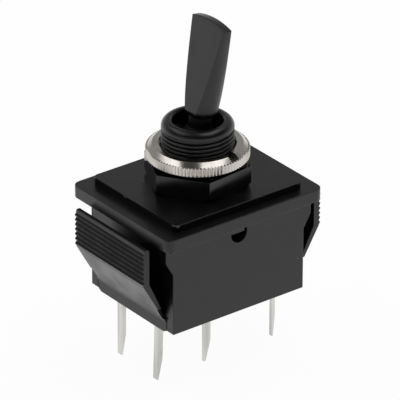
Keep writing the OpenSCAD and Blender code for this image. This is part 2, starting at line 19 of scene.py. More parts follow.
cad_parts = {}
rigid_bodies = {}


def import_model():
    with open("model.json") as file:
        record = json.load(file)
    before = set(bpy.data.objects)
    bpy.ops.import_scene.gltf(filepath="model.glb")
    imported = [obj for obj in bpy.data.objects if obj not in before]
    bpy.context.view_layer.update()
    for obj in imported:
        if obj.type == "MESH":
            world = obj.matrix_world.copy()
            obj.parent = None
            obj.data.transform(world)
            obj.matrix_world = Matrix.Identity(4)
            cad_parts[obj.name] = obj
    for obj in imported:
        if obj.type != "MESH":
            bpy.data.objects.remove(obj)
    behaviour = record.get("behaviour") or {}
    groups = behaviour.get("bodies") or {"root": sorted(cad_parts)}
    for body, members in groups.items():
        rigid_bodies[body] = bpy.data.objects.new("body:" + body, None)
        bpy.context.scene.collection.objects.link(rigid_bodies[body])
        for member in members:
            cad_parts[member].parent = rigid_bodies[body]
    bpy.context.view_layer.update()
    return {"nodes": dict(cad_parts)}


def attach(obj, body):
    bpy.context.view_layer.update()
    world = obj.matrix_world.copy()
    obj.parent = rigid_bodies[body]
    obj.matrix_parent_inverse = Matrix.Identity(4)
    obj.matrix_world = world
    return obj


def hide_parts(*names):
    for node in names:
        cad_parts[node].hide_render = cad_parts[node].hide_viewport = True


LOG = logging.getLogger("toggle_switch")
MM = 0.001
BODY = "switch_body"
Colour = tuple[float, float, float]


class Side(Enum):
    """Which end of the switch a piece stands at, along X."""

    LEFT = -1
    RIGHT = 1


class Pole(Enum):
    """Which of the two poles a piece belongs to, across Y."""

    FRONT = "front"
    REAR = "rear"


# ---------------------------------------------------------------- node helpers


class NodeSheet:
    """A thin helper that adds and wires nodes in one tree.

    Args:
        tree: The shader or geometry tree to write in.
    """

    def __init__(self, tree: bpy.types.NodeTree) -> None:
        self.tree = tree

    def add(self, kind: str, inputs: dict[object, object] | None = None, **settings: object) -> bpy.types.Node:
        """Adds a node.

        Args:
            kind: Blender's type name of the node.
            inputs: Values or output sockets for its inputs, by name or number.
            settings: Properties to set on the node before its inputs.

        Returns:
            The new node.
        """
        node = self.tree.nodes.new(kind)
        for name, value in settings.items():
            setattr(node, name, value)
        for key, value in (inputs or {}).items():
            if isinstance(value, bpy.types.NodeSocket):
                self.tree.links.new(value, node.inputs[key])
            else:
                node.inputs[key].default_value = value
        return node

    def math(self, operation: str, a: object, b: object = 0.0, c: object = 0.0, clamp: bool = False) -> bpy.types.NodeSocket:
        """Adds a Math node and returns its output."""
        node = self.add("ShaderNodeMath", {0: a, 1: b, 2: c}, operation=operation, use_clamp=clamp)
        return node.outputs[0]

    def remap(self, value: object, low: float, high: float, to_low: float, to_high: float) -> bpy.types.NodeSocket:
        """Maps one range of a value to another, clamped, with smooth ends."""
        node = self.add("ShaderNodeMapRange", {0: value, 1: low, 2: high, 3: to_low, 4: to_high}, interpolation_type="SMOOTHSTEP")
        return node.outputs[0]

    def mix(self, factor: object, a: object, b: object) -> bpy.types.NodeSocket:
        """Mixes two colours and returns the result."""
        node = self.add("ShaderNodeMix", {0: factor, 6: a, 7: b}, data_type="RGBA")
        return node.outputs[2]


def rgba(colour: Colour) -> tuple[float, float, float, float]:
    """Returns a colour with full alpha."""
    return (*colour, 1.0)


def new_group(name: str, inputs: dict[str, tuple[str, object]], outputs: dict[str, str]) -> tuple[bpy.types.NodeTree, NodeSheet, bpy.types.Node, bpy.types.Node]:
    """Makes an empty shader node group.

    Args:
        name: The group's name.
        inputs: Socket name to its kind and default value.
        outputs: Socket name to its kind.

    Returns:
        The tree, a sheet on it, and its input and output nodes.
    """
    tree = bpy.data.node_groups.new(name, "ShaderNodeTree")
    for socket, (kind, value) in inputs.items():
        made = tree.interface.new_socket(socket, in_out="INPUT", socket_type="NodeSocket" + kind)
        if value is not None:
            made.default_value = value
    for socket, kind in outputs.items():
        tree.interface.new_socket(socket, in_out="OUTPUT", socket_type="NodeSocket" + kind)
    sheet = NodeSheet(tree)
    return tree, sheet, sheet.add("NodeGroupInput"), sheet.add("NodeGroupOutput")


class SharedEffects:
    """The shader node groups that several finishes use."""

    def __init__(self) -> None:
        self.grain = self._moulded_grain()
        self.dust = self._dust()
        self.handling = self._handling_marks()
        self.mark = self._local_mark()

    @staticmethod
    def _moulded_grain() -> bpy.types.NodeTree:
        """Fine grain of a moulded surface: a height, and a slow mottle for the roughness."""
        tree, s, inp, out = new_group(
            "moulded_grain",
            {"Vector": ("Vector", None), "Grain Scale": ("Float", 4000.0), "Mottle Scale": ("Float", 260.0)},
            {"Height": "Float", "Mottle": "Float"},
        )
        fine = s.add("ShaderNodeTexNoise", {"Vector": inp.outputs["Vector"], "Scale": inp.outputs["Grain Scale"], "Detail": 3.0})
        slow = s.add("ShaderNodeTexNoise", {"Vector": inp.outputs["Vector"], "Scale": inp.outputs["Mottle Scale"], "Detail": 2.0})
        s.tree.links.new(fine.outputs[0], out.inputs["Height"])
        s.tree.links.new(s.remap(slow.outputs[0], 0.35, 0.65, 0.0, 1.0), out.inputs["Mottle"])
        return tree

    @staticmethod
    def _dust() -> bpy.types.NodeTree:
        """Sparse pale specks, as a mask."""
        tree, s, inp, out = new_group(
            "dust_specks",
            {"Vector": ("Vector", None), "Scale": ("Float", 500.0), "Amount": ("Float", 0.1), "Size": ("Float", 0.12)},
            {"Mask": "Float"},
        )
        cells = s.add("ShaderNodeTexVoronoi", {"Vector": inp.outputs["Vector"], "Scale": inp.outputs["Scale"]})
        chosen = s.math("LESS_THAN", s.add("ShaderNodeSeparateColor", {0: cells.outputs["Color"]}).outputs[0], inp.outputs["Amount"])
        near = s.math("LESS_THAN", cells.outputs["Distance"], inp.outputs["Size"])
        s.tree.links.new(s.math("MULTIPLY", chosen, near), out.inputs["Mask"])
        return tree

    @staticmethod
    def _handling_marks() -> bpy.types.NodeTree:
        """Hair-thin scuffs in slanting directions, as a mask."""
        tree, s, inp, out = new_group(
            "handling_marks",
            {"Vector": ("Vector", None), "Scale": ("Float", 90.0), "Amount": ("Float", 0.5)},
            {"Mask": "Float"},
        )
        lines = None
        for turn, stretch in ((0.5, 11.0), (-0.9, 15.0)):
            place = s.add("ShaderNodeMapping", {0: inp.outputs["Vector"], 2: (0.3, turn, turn * 1.7), 3: (1.0, stretch, 1.0)})
            noise = s.add("ShaderNodeTexNoise", {"Vector": place.outputs[0], "Scale": inp.outputs["Scale"], "Detail": 1.0, "Distortion": 0.2})
            ridge = s.remap(s.math("ABSOLUTE", s.math("SUBTRACT", noise.outputs[0], 0.5)), 0.0, 0.012, 1.0, 0.0)
            lines = ridge if lines is None else s.math("MAXIMUM", lines, ridge)
        patches = s.add("ShaderNodeTexNoise", {"Vector": inp.outputs["Vector"], "Scale": 150.0, "Detail": 1.0})
        where = s.remap(patches.outputs[0], 0.5, 0.62, 0.0, 1.0)
        s.tree.links.new(s.math("MULTIPLY", s.math("MULTIPLY", lines, where), inp.outputs["Amount"]), out.inputs["Mask"])
        return tree

    @staticmethod
    def _local_mark() -> bpy.types.NodeTree:
        """A soft spot round a point, stretched by its size along X, Y and Z, as a mask."""
        tree, s, inp, out = new_group(
            "local_mark",
            {"Vector": ("Vector", None), "Centre": ("Vector", (0.0, 0.0, 0.0)), "Size": ("Vector", (0.001, 0.001, 0.001)), "Edge": ("Float", 0.5)},
            {"Mask": "Float"},
        )
        away = s.add("ShaderNodeVectorMath", {0: inp.outputs["Vector"], 1: inp.outputs["Centre"]}, operation="SUBTRACT")
        scaled = s.add("ShaderNodeVectorMath", {0: away.outputs[0], 1: inp.outputs["Size"]}, operation="DIVIDE")
        length = s.add("ShaderNodeVectorMath", {0: scaled.outputs[0]}, operation="LENGTH")
        node = s.add("ShaderNodeMapRange", {0: length.outputs[1], 1: inp.outputs["Edge"], 2: 1.0, 3: 1.0, 4: 0.0}, interpolation_type="SMOOTHSTEP")
        s.tree.links.new(node.outputs[0], out.inputs["Mask"])
        return tree


# ---------------------------------------------------------------- finishes


@dataclass(frozen=True)
class Mark:
    """A local blemish: a spot with its place, reach and how it changes the surface.

    Attributes:
        centre: Its middle, in millimetres.
        size: Its reach along X, Y and Z, in millimetres.
        colour: The colour it turns the surface to.
        strength: How much of that colour shows.
        height: How far it stands up (or sinks, if negative), as a bump height in millimetres.
    """

    centre: Colour
    size: Colour
    colour: Colour = (0.3, 0.3, 0.3)
    strength: float = 0.5
    height: float = 0.0


@dataclass(frozen=True)
class MouldedPlastic:
    """A moulded black or natural plastic, from satin to polished.

    Attributes:
        name: Material name.
        colour: Its colour.
        roughness: Roughness where it is smoothest.
        roughness_spread: How much rougher the mottle makes it.
        grain_depth: Height of the grain, in millimetres.
        grain_scale: Fineness of the grain.
        ior: Index of refraction.
        dust: Share of cells that carry a speck.
        scuffs: Strength of the scuffs.
        marks: Local blemishes.
    """

    name: str
    colour: Colour
    roughness: float
    roughness_spread: float = 0.06
    grain_depth: float = 0.004
    grain_scale: float = 5200.0
    ior: float = 1.5
    dust: float = 0.02
    scuffs: float = 0.25
    marks: tuple[Mark, ...] = ()

    def build(self, effects: SharedEffects) -> bpy.types.Material:
        """Builds the material.

        Args:
            effects: The shared shader groups.

        Returns:
            The finished material.
        """
        material, s, shader = blank_material(self.name)
        place = s.add("ShaderNodeTexCoord").outputs["Object"]
        grain = s.add("ShaderNodeGroup", {}, node_tree=effects.grain)
        s.tree.links.new(place, grain.inputs["Vector"])
        grain.inputs["Grain Scale"].default_value = self.grain_scale
        specks = s.add("ShaderNodeGroup", {}, node_tree=effects.dust)
        s.tree.links.new(place, specks.inputs["Vector"])
        specks.inputs["Scale"].default_value = 900.0
        specks.inputs["Amount"].default_value = self.dust
        scuff = s.add("ShaderNodeGroup", {}, node_tree=effects.handling)
        s.tree.links.new(place, scuff.inputs["Vector"])
        scuff.inputs["Amount"].default_value = self.scuffs

        colour = s.mix(s.math("MULTIPLY", scuff.outputs["Mask"], 0.35), rgba(self.colour), rgba(tuple(c + 0.03 for c in self.colour)))
        colour = s.mix(s.math("MULTIPLY", specks.outputs["Mask"], 0.55), colour, (0.30, 0.29, 0.27, 1.0))
        height = s.math("MULTIPLY", grain.outputs["Height"], self.grain_depth * MM)
        for mark in self.marks:
            spot = s.add("ShaderNodeGroup", {}, node_tree=effects.mark)
            s.tree.links.new(place, spot.inputs["Vector"])
            spot.inputs["Centre"].default_value = tuple(v * MM for v in mark.centre)
            spot.inputs["Size"].default_value = tuple(v * MM for v in mark.size)
            colour = s.mix(s.math("MULTIPLY", spot.outputs["Mask"], mark.strength), colour, rgba(mark.colour))
            if mark.height:
                height = s.math("MULTIPLY_ADD", spot.outputs["Mask"], mark.height * MM, height)
        rough = s.math("MULTIPLY_ADD", grain.outputs["Mottle"], self.roughness_spread, self.roughness)
        rough = s.math("MULTIPLY_ADD", scuff.outputs["Mask"], 0.15, rough)
        rough = s.math("MULTIPLY_ADD", specks.outputs["Mask"], 0.4, rough, clamp=True)
        bump = s.add("ShaderNodeBump", {"Strength": 1.0, "Distance": 1.0, "Height": height})
        s.tree.links.new(colour, shader.inputs["Base Color"])
        s.tree.links.new(rough, shader.inputs["Roughness"])
        s.tree.links.new(bump.outputs[0], shader.inputs["Normal"])
        shader.inputs["IOR"].default_value = self.ior
        return material


@dataclass(frozen=True)
class PlatedMetal:
    """A plated or bare metal with fine drawn lines and a little tarnish.

    Attributes:
        name: Material name.
        colour: Its colour.
        tarnish: The colour of its duller patches.
        roughness: Roughness of the bright metal.
        roughness_spread: How much rougher its dull patches are.
        grain: How much the fine lines stretch along X, Y and Z.
        grain_depth: Height of the fine lines, in millimetres.
        tarnish_share: How much of the tarnish colour shows.
    """

    name: str
    colour: Colour
    tarnish: Colour
    roughness: float
    roughness_spread: float = 0.12
    grain: Colour = (1.0, 1.0, 0.12)
    grain_depth: float = 0.003
    tarnish_share: float = 0.5

    def build(self, effects: SharedEffects) -> bpy.types.Material:
        """Builds the material.

        Args:
            effects: The shared shader groups.

        Returns:
            The finished material.
        """
        material, s, shader = blank_material(self.name)
        place = s.add("ShaderNodeTexCoord").outputs["Object"]
        drawn = s.add("ShaderNodeMapping", {0: place, 3: self.grain})
        grain = s.add("ShaderNodeGroup", {}, node_tree=effects.grain)
        s.tree.links.new(drawn.outputs[0], grain.inputs["Vector"])
        grain.inputs["Grain Scale"].default_value = 6000.0
        grain.inputs["Mottle Scale"].default_value = 420.0
        scuff = s.add("ShaderNodeGroup", {}, node_tree=effects.handling)
        s.tree.links.new(place, scuff.inputs["Vector"])
        scuff.inputs["Amount"].default_value = 0.5
        dull = s.math("MULTIPLY", grain.outputs["Mottle"], self.tarnish_share)
        colour = s.mix(dull, rgba(self.colour), rgba(self.tarnish))
        rough = s.math("MULTIPLY_ADD", grain.outputs["Mottle"], self.roughness_spread, self.roughness)
        rough = s.math("MULTIPLY_ADD", scuff.outputs["Mask"], 0.12, rough, clamp=True)
        height = s.math("MULTIPLY", grain.outputs["Height"], self.grain_depth * MM)
        bump = s.add("ShaderNodeBump", {"Strength": 1.0, "Distance": 1.0, "Height": height})
        s.tree.links.new(colour, shader.inputs["Base Color"])
        s.tree.links.new(rough, shader.inputs["Roughness"])
        s.tree.links.new(bump.outputs[0], shader.inputs["Normal"])
        shader.inputs["Metallic"].default_value = 1.0
        return material


def blank_material(name: str) -> tuple[bpy.types.Material, NodeSheet, bpy.types.Node]:
    """Makes a material with one Principled shader.

    Args:
        name: The material's name.

    Returns:
        The material, a sheet on its tree, and the shader node.
    """
    material = bpy.data.materials.new(name)
    material.use_nodes = True
    material.node_tree.nodes.clear()
    sheet = NodeSheet(material.node_tree)
    shader = sheet.add("ShaderNodeBsdfPrincipled")
    output = sheet.add("ShaderNodeOutputMaterial")
    sheet.tree.links.new(shader.outputs[0], output.inputs["Surface"])
    return material, sheet, shader


class Finish(Enum):
    """Every finish on the switch."""

    HOUSING = MouldedPlastic(
        "housing_satin_black", (0.0045, 0.0045, 0.005), 0.30, 0.06, 0.004, 3800.0, 1.5, 0.010, 0.30,
        marks=(
            Mark((12.2, -11.1, -14.0), (0.22, 0.6, 0.18), (0.20, 0.20, 0.20), 0.6, 0.01),
            Mark((6.0, -11.1, -5.8), (1.6, 0.6, 0.5), (0.015, 0.015, 0.03), 0.7),
        ),
    )
    COVER = MouldedPlastic(
        "cover_polished_black", (0.003, 0.003, 0.0035), 0.09, 0.04, 0.0006, 1200.0, 1.5, 0.015, 0.20,
        marks=(Mark((-13.1, 2.2, 0.0), (0.25, 0.45, 0.3), (0.04, 0.04, 0.04), 0.6, -0.05),),
    )
    BASE = MouldedPlastic(
        "base_satin_black", (0.0045, 0.0045, 0.005), 0.30, 0.08, 0.004, 3200.0, 1.5, 0.016, 0.35,
        marks=(
            Mark((-15.6, -7.0, -15.3), (1.0, 2.0, 0.9), (0.10, 0.10, 0.10), 0.6, 0.05),
            Mark((-15.2, 1.5, -15.6), (0.6, 1.0, 0.5), (0.14, 0.14, 0.13), 0.7, 0.05),
        ),
    )
    THREAD = MouldedPlastic("bush_satin_black", (0.004, 0.004, 0.0045), 0.28, 0.08, 0.003, 3600.0, 1.5, 0.010, 0.10)
    HEX = MouldedPlastic("hex_nut_polished_black", (0.003, 0.003, 0.0035), 0.14, 0.05, 0.0015, 1800.0, 1.5, 0.012, 0.20)
    LEVER = MouldedPlastic("lever_satin_black", (0.008, 0.008, 0.009), 0.32, 0.06, 0.005, 4200.0, 1.5, 0.006, 0.20)
    # Darker than the lever's own plastic: painted shade for the stem down in the shaded bore; it is also rougher and
    # less shiny
    STEM = MouldedPlastic("stem_greased_black", (0.003, 0.003, 0.003), 0.62, 0.06, 0.004, 4200.0, 1.28, 0.0, 0.0)
    PLUNGER = MouldedPlastic("plunger_natural", (0.62, 0.58, 0.48), 0.36, 0.06, 0.003, 4000.0, 1.5, 0.0, 0.10)
    NICKEL = PlatedMetal("ring_nickel", (0.60, 0.57, 0.53), (0.46, 0.43, 0.39), 0.16, 0.10, (1.0, 1.0, 1.0), 0.0015, 0.35)
    TIN = PlatedMetal("tail_tin", (0.74, 0.73, 0.70), (0.48, 0.47, 0.44), 0.34, 0.16, (1.0, 1.0, 0.10), 0.004, 0.55)
    STEEL = PlatedMetal("pin_steel", (0.52, 0.52, 0.53), (0.36, 0.36, 0.37), 0.24, 0.10, (1.0, 0.12, 1.0), 0.002, 0.4)
    WIRE = PlatedMetal("spring_wire", (0.50, 0.50, 0.51), (0.34, 0.33, 0.32), 0.22, 0.10, (1.0, 1.0, 1.0), 0.001, 0.4)
    COPPER = PlatedMetal("blade_copper", (0.80, 0.49, 0.31), (0.52, 0.28, 0.17), 0.26, 0.14, (0.12, 1.0, 1.0), 0.002, 0.6)
    SILVER = PlatedMetal("contact_silver", (0.86, 0.85, 0.83), (0.60, 0.58, 0.53), 0.20, 0.14, (1.0, 1.0, 1.0), 0.002, 0.5)


class Wardrobe:
    """Builds each finish once and hands it out."""

    def __init__(self) -> None:
        self.effects = SharedEffects()
        self._made: dict[Finish, bpy.types.Material] = {}

    def get(self, finish: Finish) -> bpy.types.Material:
        """Returns the material of a finish, building it on first use."""
        if finish not in self._made:
            self._made[finish] = finish.value.build(self.effects)
        return self._made[finish]

    def dress(self, obj: bpy.types.Object, finish: Finish) -> None:
        """Gives an object one finish all over."""
        obj.data.materials.clear()
        obj.data.materials.append(self.get(finish))


# ---------------------------------------------------------------- mesh helpers


def link_mesh(name: str, mesh: bpy.types.Mesh) -> bpy.types.Object:
    """Puts a mesh in the scene as an object at the origin."""
    obj = bpy.data.objects.new(name, mesh)
    bpy.context.scene.collection.objects.link(obj)
    return obj


def mesh_from(name: str, points: list[Vector], faces: list[tuple[int, ...]]) -> bpy.types.Object:
    """Makes an object from points in millimetres and faces.

    Args:
        name: The object's name.
        points: Vertices, in millimetres.
        faces: Tuples of vertex numbers.

    Returns:
        The new object, with its normals pointing outwards.
    """
    mesh = bpy.data.meshes.new(name)
    mesh.from_pydata([tuple(c * MM for c in p) for p in points], [], faces)
    build = bmesh.new()
    build.from_mesh(mesh)
    bmesh.ops.remove_doubles(build, verts=build.verts[:], dist=1e-7)
    bmesh.ops.recalc_face_normals(build, faces=build.faces[:])
    build.to_mesh(mesh)
    build.free()
    return link_mesh(name, mesh)


def bake_modifiers(obj: bpy.types.Object) -> bpy.types.Object:
    """Replaces an object's mesh by what its modifiers make of it, and removes them."""
    graph = bpy.context.evaluated_depsgraph_get()
    old = obj.data
    made = bpy.data.meshes.new_from_object(obj.evaluated_get(graph), preserve_all_data_layers=True, depsgraph=graph)
    made.name = obj.name
    obj.modifiers.clear()
    obj.data = made
    if old.users == 0:
        bpy.data.meshes.remove(old)
    return obj


def smooth(obj: bpy.types.Object, angle: float = 34.0) -> bpy.types.Object:
    """Shades an object smooth, with sharp edges above an angle in degrees."""
    obj.data.shade_smooth()
    obj.data.set_sharp_from_angle(angle=math.radians(angle))
    return obj


def merged_copy(node: bpy.types.Object, name: str) -> bpy.types.Object:
    """Copies a solid's loose triangles into one clean mesh with flat faces joined.

    Args:
        node: The solid's object.
        name: Name of the copy.

    Returns:
        The copy.
    """
    mesh = bpy.data.meshes.new(name)
    build = bmesh.new()
    build.from_mesh(node.data)
    bmesh.ops.remove_doubles(build, verts=build.verts[:], dist=2e-7)
    bmesh.ops.dissolve_limit(build, angle_limit=math.radians(0.6), verts=build.verts[:], edges=build.edges[:])
    build.to_mesh(mesh)
    build.free()
    return link_mesh(name, mesh)


def round_edges(obj: bpy.types.Object, width: float, segments: int = 3, angle: float = 32.0) -> bpy.types.Object:
    """Rounds an object's sharp edges.

    Args:
        obj: The object.
        width: Width of the rounding, in millimetres.
        segments: Faces across it.
        angle: Edges sharper than this many degrees are rounded.

    Returns:
        The same object, with the rounding in its mesh.
    """
    bevel = obj.modifiers.new("rounding", "BEVEL")
    bevel.width = width * MM
    bevel.segments = segments
    bevel.limit_method = "ANGLE"
    bevel.angle_limit = math.radians(angle)
    bevel.use_clamp_overlap = True
    bevel.miter_outer = "MITER_ARC"
    obj.data.shade_smooth()
    flats = obj.modifiers.new("flat_faces", "WEIGHTED_NORMAL")
    flats.weight = 100
    flats.keep_sharp = True
    return bake_modifiers(obj)


def lathe(name: str, profile: list[tuple[float, float]], steps: int = 128) -> bpy.types.Object:
    """Turns an outline about Z.

    Args:
        name: The object's name.
        profile: Closed outline as (radius, height) in millimetres.
        steps: Columns round the axis.

    Returns:
        The turned object.
    """
    points, faces = [], []
    count = len(profile)
    for i in range(steps):
        a = 2 * math.pi * i / steps
        points += [Vector((r * math.cos(a), r * math.sin(a), z)) for r, z in profile]
    for i in range(steps):
        j = (i + 1) % steps
        for k in range(count):
            m = (k + 1) % count
            faces.append((i * count + k, j * count + k, j * count + m, i * count + m))
    return mesh_from(name, points, faces)


# ---------------------------------------------------------------- geometry trees


def geometry_tree(name: str, sizes: dict[str, tuple[str, object]]) -> tuple[bpy.types.NodeTree, NodeSheet, bpy.types.Node, bpy.types.Node]:
    """Makes an empty geometry tree with named inputs.

    Args:
        name: The tree's name.
        sizes: Socket name to its kind and default value.

    Returns:
        The tree, a sheet on it, and its input and output nodes.
    """
    tree = bpy.data.node_groups.new(name, "GeometryNodeTree")
    tree.interface.new_socket("Geometry", in_out="OUTPUT", socket_type="NodeSocketGeometry")
    for socket, (kind, value) in sizes.items():
        made = tree.interface.new_socket(socket, in_out="INPUT", socket_type="NodeSocket" + kind)
        if value is not None:
            made.default_value = value
    sheet = NodeSheet(tree)
    return tree, sheet, sheet.add("NodeGroupInput"), sheet.add("NodeGroupOutput")


def grow(name: str, tree: bpy.types.NodeTree, values: dict[str, object]) -> bpy.types.Object:
    """Runs a geometry tree on an empty object and keeps the result as a plain mesh.

    Args:
        name: Name of the piece.
        tree: The geometry tree.
        values: Values of its named inputs.

    Returns:
        The new object.
    """
    obj = link_mesh(name, bpy.data.meshes.new(name))
    modifier = obj.modifiers.new("grow", "NODES")
    modifier.node_group = tree
    for item in tree.interface.items_tree:
        if item.item_type == "SOCKET" and item.in_out == "INPUT" and item.name in values:
            modifier[item.identifier] = values[item.name]
    return bake_modifiers(obj)


def thread_tree() -> bpy.types.NodeTree:
    """A helical thread on a sleeve: a grid rolled round Z, whose radius follows the helix.

    Returns:
        The geometry tree.
    """
    tree, s, inp, out = geometry_tree(
        "helical_thread",
        {
            "Pitch": ("Float", 0.00075), "Crest Radius": ("Float", 0.006), "Root Radius": ("Float", 0.0055),
            "Low": ("Float", 0.0), "High": ("Float", 0.01), "Inner Radius": ("Float", 0.0052),
            "Keyway Half Width": ("Float", 0.0005), "Keyway Radius": ("Float", 0.0053),
            "Columns": ("Int", 200), "Rows": ("Int", 200), "Finish": ("Material", None),
        },
    )
    o = inp.outputs
    grid = s.add("GeometryNodeMeshGrid", {"Size X": 1.0, "Size Y": 1.0, "Vertices X": o["Columns"], "Vertices Y": o["Rows"]})
    place = s.add("ShaderNodeSeparateXYZ", {0: s.add("GeometryNodeInputPosition").outputs[0]})
    turn = s.math("ADD", place.outputs[0], 0.5)
    rise = s.math("ADD", place.outputs[1], 0.5)
    angle = s.math("MULTIPLY", turn, 2 * math.pi)
    span = s.math("SUBTRACT", o["High"], o["Low"])
    z = s.math("MULTIPLY_ADD", rise, span, o["Low"])
    phase = s.math("FRACT", s.math("SUBTRACT", s.math("DIVIDE", z, o["Pitch"]), turn))
    wave = s.math("ABSOLUTE", s.math("MULTIPLY_ADD", phase, 2.0, -1.0))
    flank = s.remap(wave, 0.16, 0.84, 0.0, 1.0)
    # The thread runs out into the plain shoulder at the top
    run_out = s.remap(s.math("DIVIDE", s.math("SUBTRACT", o["High"], z), o["Pitch"]), 0.05, 0.45, 1.0, 0.0)
    flank = s.math("MAXIMUM", flank, run_out)
    depth = s.math("SUBTRACT", o["Crest Radius"], o["Root Radius"])
    radius = s.math("MULTIPLY_ADD", flank, depth, o["Root Radius"])
    # The keyway cuts through the thread on the +X side
    beside = s.math("MULTIPLY", s.math("ABSOLUTE", s.math("SINE", angle)), o["Crest Radius"])
    in_key = s.math("MULTIPLY", s.math("LESS_THAN", beside, o["Keyway Half Width"]), s.math("GREATER_THAN", s.math("COSINE", angle), 0.0))
    key_drop = s.math("MULTIPLY", in_key, s.math("SUBTRACT", o["Keyway Radius"], radius))
    radius = s.math("ADD", radius, key_drop)
    # The first and last rows turn in under the surface
    rim = s.math("GREATER_THAN", s.math("ABSOLUTE", place.outputs[1]), 0.4999)
    radius = s.math("ADD", radius, s.math("MULTIPLY", rim, s.math("SUBTRACT", o["Inner Radius"], radius)))
    x = s.math("MULTIPLY", radius, s.math("COSINE", angle))
    y = s.math("MULTIPLY", radius, s.math("SINE", angle))
    rolled = s.add("ShaderNodeCombineXYZ", {0: x, 1: y, 2: z})
    moved = s.add("GeometryNodeSetPosition", {"Geometry": grid.outputs[0], "Position": rolled.outputs[0]})
    closed = s.add("GeometryNodeMergeByDistance", {"Geometry": moved.outputs[0], "Distance": 1e-7})
    real = s.add("GeometryNodeRealizeInstances", {0: closed.outputs[0]})
    dressed = s.add("GeometryNodeSetMaterial", {"Geometry": real.outputs[0], "Material": o["Finish"]})
    s.tree.links.new(dressed.outputs[0], out.inputs[0])
    return tree


def knurl_tree() -> bpy.types.NodeTree:
    """Straight knurl: one tooth, a four-sided bar with pointed ends, repeated round a circle.

    Returns:
        The geometry tree.
    """
    tree, s, inp, out = geometry_tree(
        "straight_knurl",
        {
            "Teeth": ("Int", 90), "Root Radius": ("Float", 0.0083), "Tooth Radius": ("Float", 0.0003),
            "Low": ("Float", 0.0), "High": ("Float", 0.001), "Tip Length": ("Float", 0.0002), "Finish": ("Material", None),
        },
    )
    o = inp.outputs
    length = s.math("SUBTRACT", o["High"], o["Low"])
    middle = s.math("MULTIPLY", s.math("ADD", o["High"], o["Low"]), 0.5)
    bar = s.add("GeometryNodeMeshCylinder", {"Vertices": 4, "Radius": o["Tooth Radius"], "Depth": length}, fill_type="NONE")
    tips = []
    for sign in (1.0, -1.0):
        cone = s.add("GeometryNodeMeshCone", {"Vertices": 4, "Radius Top": 0.0, "Radius Bottom": o["Tooth Radius"], "Depth": o["Tip Length"]}, fill_type="NONE")
        lift = s.math("MULTIPLY", length, 0.5 * sign)
        spot = s.add("ShaderNodeCombineXYZ", {2: lift})
        tips.append(s.add("GeometryNodeTransform", {"Geometry": cone.outputs[0], "Translation": spot.outputs[0], "Scale": (1.0, 1.0, sign)}))
    tooth = s.add("GeometryNodeJoinGeometry")
    for part in (bar, *tips):
        s.tree.links.new(part.outputs[0], tooth.inputs[0])
    circle = s.add("GeometryNodeMeshCircle", {"Vertices": o["Teeth"], "Radius": o["Root Radius"]})
    spot = s.add("GeometryNodeInputPosition")
    parts = s.add("ShaderNodeSeparateXYZ", {0: spot.outputs[0]})
    turn = s.add("ShaderNodeCombineXYZ", {2: s.math("ARCTAN2", parts.outputs[1], parts.outputs[0])})
    placed = s.add("GeometryNodeInstanceOnPoints", {"Points": circle.outputs[0], "Instance": tooth.outputs[0], "Rotation": turn.outputs[0]})
    lift = s.add("ShaderNodeCombineXYZ", {2: middle})
    raised = s.add("GeometryNodeTranslateInstances", {"Instances": placed.outputs[0], "Translation": lift.outputs[0]}, )
    raised.inputs["Local Space"].default_value = False
    real = s.add("GeometryNodeRealizeInstances", {0: raised.outputs[0]})
    merged = s.add("GeometryNodeMergeByDistance", {"Geometry": real.outputs[0], "Distance": 1e-7})
    dressed = s.add("GeometryNodeSetMaterial", {"Geometry": merged.outputs[0], "Material": o["Finish"]})
    s.tree.links.new(dressed.outputs[0], out.inputs[0])
    return tree


def spring_tree() -> bpy.types.NodeTree:
    """A coil spring: a spiral with a round wire.

    Returns:
        The geometry tree.
    """
    tree, s, inp, out = geometry_tree(
        "coil_spring",
        {
            "Turns": ("Float", 5.5), "Coil Radius": ("Float", 0.00095), "Wire Radius": ("Float", 0.00015),
            "Length": ("Float", 0.003), "Finish": ("Material", None),
        },
    )
    o = inp.outputs
    coil = s.add("GeometryNodeCurveSpiral", {"Resolution": 24, "Rotations": o["Turns"], "Start Radius": o["Coil Radius"], "End Radius": o["Coil Radius"], "Height": o["Length"]})
    wire = s.add("GeometryNodeCurvePrimitiveCircle", {"Resolution": 12, "Radius": o["Wire Radius"]})
    swept = s.add("GeometryNodeCurveToMesh", {"Curve": coil.outputs[0], "Profile Curve": wire.outputs[0], "Fill Caps": True})
    real = s.add("GeometryNodeRealizeInstances", {0: swept.outputs[0]})
    dressed = s.add("GeometryNodeSetMaterial", {"Geometry": real.outputs[0], "Material": o["Finish"]})
    s.tree.links.new(dressed.outputs[0], out.inputs[0])
    return tree


# ---------------------------------------------------------------- sub-assemblies


@dataclass
class SubAssembly:
    """What every sub-assembly shares.

    Attributes:
        nodes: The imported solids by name.
        wardrobe: Where finishes come from.
    """

    nodes: dict[str, bpy.types.Object]
    wardrobe: Wardrobe

    def show(self, obj: bpy.types.Object, finish: Finish, slot: str, body: str, *replaced: str) -> bpy.types.Object:
        """Dresses a finished piece and ties it to the frame.

        Args:
            obj: The piece.
            finish: Its finish.
            slot: The record's material slot it follows; not used.
            body: The body it moves with.
            replaced: Solids it stands for.

        Returns:
            The piece.
        """
        self.wardrobe.dress(obj, finish)
        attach(obj, body)
        if replaced:
            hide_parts(*replaced)
        LOG.info("piece %s: %d faces, %s", obj.name, len(obj.data.polygons), finish.value.name)
        return obj


@dataclass
class Housing(SubAssembly):
    """The box with its flange, ears and latch windows."""

    edge: float = 0.13

    def build(self) -> None:
        """Makes the rounded housing."""
        shell = round_edges(merged_copy(self.nodes["housing"], "housing_shell"), self.edge)
        self.show(shell, Finish.HOUSING, "black_satin_plastic", BODY, "housing")


@dataclass
class SnapBase(SubAssembly):
    """The base moulding with its two ridged snap wings."""

    edge: float = 0.09

    def build(self) -> None:
        """Makes the base with softened ridges."""
        base = round_edges(merged_copy(self.nodes["terminal_base"], "snap_base"), self.edge, 2, 25.0)
        self.show(base, Finish.BASE, "black_satin_plastic", BODY, "terminal_base")


